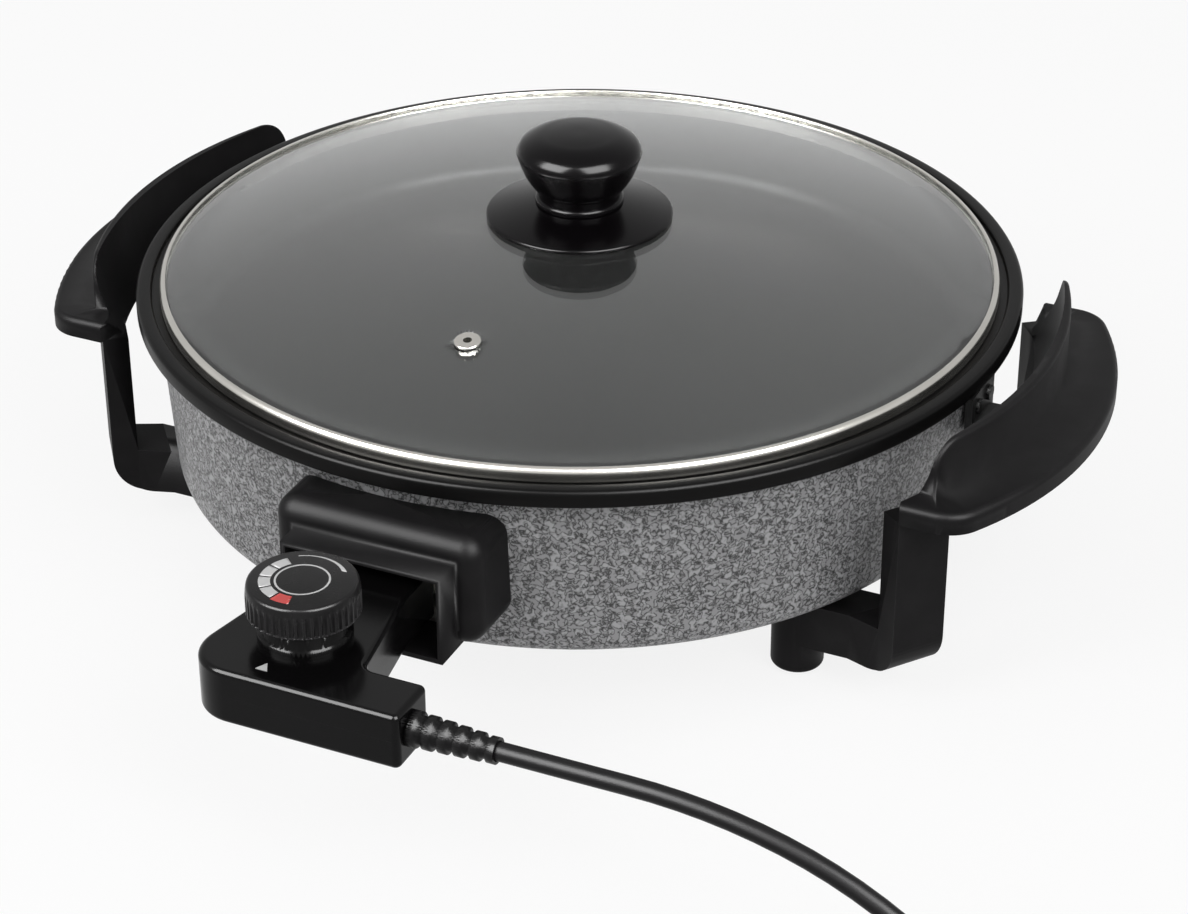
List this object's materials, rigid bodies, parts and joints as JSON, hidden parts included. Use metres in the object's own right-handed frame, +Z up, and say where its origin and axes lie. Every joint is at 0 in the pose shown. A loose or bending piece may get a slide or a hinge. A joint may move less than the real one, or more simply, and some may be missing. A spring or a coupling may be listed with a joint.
{
  "type": "electric skillet",
  "caption": "Round electric skillet with a deep pan in a grey shell, lift-off domed glass lid, side handles with legs, and a plug-in heat control with cord.",
  "frame": {"origin": "middle of the footprint at table height, measured without the cord, its coil and the plug", "axes": "+Z up, -Y toward the front where the control plugs in, X along the line of the two handles"},
  "size_m": [0.7135, 0.6415, 0.1981],
  "materials": {
    "pan_coating": "black non-stick coating on aluminium, satin",
    "hammertone": "grey hammertone paint with dark veins",
    "cast_aluminium": "as cast",
    "plated_steel": "zinc plated",
    "polished_steel": "polished",
    "element_sheath": "heat-darkened",
    "ceramic_white": "unglazed",
    "phenolic_black": "black phenolic, satin",
    "knob_black": "black phenolic, semi-gloss",
    "control_black": "black moulding, glossy",
    "dial_black": "dark grey moulding, satin",
    "rubber_black": "soft rubber",
    "cord_black": "smooth cord sheath",
    "silicone_grey": "silicone",
    "clear_glass": "clear tempered glass",
    "contact_brass": "plated contacts",
    "mark_white": "white inlay",
    "inner_moulding": "brown phenolic"
  },
  "bodies": {
    "skillet": {"cooking_pan": "pan_coating", "outer_shell": "hammertone", "spreader_plate": "cast_aluminium", "tie_bolt": "plated_steel", "spacer_tube": "plated_steel", "heating_element": "element_sheath", "terminal_pins": "plated_steel", "terminal_plate": "plated_steel", "ceramic_bush_left": "ceramic_white", "ceramic_bush_right": "ceramic_white", "probe_guide": "plated_steel", "earth_strip": "contact_brass", "socket_shroud": "phenolic_black", "shroud_screws": "plated_steel", "handle_left": "phenolic_black", "handle_right": "phenolic_black", "foot_screws_left": "plated_steel", "foot_screws_right": "plated_steel", "weld_nuts_left": "plated_steel", "weld_nuts_right": "plated_steel", "foot_pads_left": "rubber_black", "foot_pads_right": "rubber_black", "handle_bracket_left": "plated_steel", "handle_bracket_right": "plated_steel", "bracket_screws_left": "plated_steel", "bracket_screws_right": "plated_steel", "bracket_rivets_left": "plated_steel", "bracket_rivets_right": "plated_steel"},
    "lid": {"lid_glass": "clear_glass", "lid_band": "polished_steel", "vent_eyelet": "polished_steel", "seal_washer_top": "silicone_grey", "seal_washer_under": "silicone_grey", "knob_guard": "knob_black", "lid_knob": "knob_black", "lid_screw": "plated_steel"},
    "control": {"control_top_shell": "control_black", "control_base_shell": "control_black", "control_screws": "plated_steel", "thermostat_block": "inner_moulding", "thermostat_bush": "contact_brass", "contact_sleeves": "contact_brass", "probe_rod": "plated_steel", "cord_anchor": "inner_moulding", "dial_collar": "dial_black", "pointer_mark": "mark_white", "strain_relief": "rubber_black", "power_cord": "cord_black", "cord_coil": "cord_black", "cord_tail": "cord_black", "plug_body": "control_black", "plug_pins": "plated_steel"},
    "dial": {"dial": "dial_black", "dial_spindle": "contact_brass"}
  },
  "joints": [
    {"name": "lid_lift", "type": "slide", "parent": "skillet", "child": "lid", "axis": [0, 0, 1], "range_m": [0, 0.25]},
    {"name": "control_unplug", "type": "slide", "parent": "skillet", "child": "control", "axis": [0, -1, 0], "range_m": [0, 0.13]},
    {"name": "dial_turn", "type": "hinge", "parent": "control", "child": "dial", "pos_m": [0.005, -0.2205, 0.11], "axis": [0, 0, -1], "range_deg": [0, 270]}
  ]
}
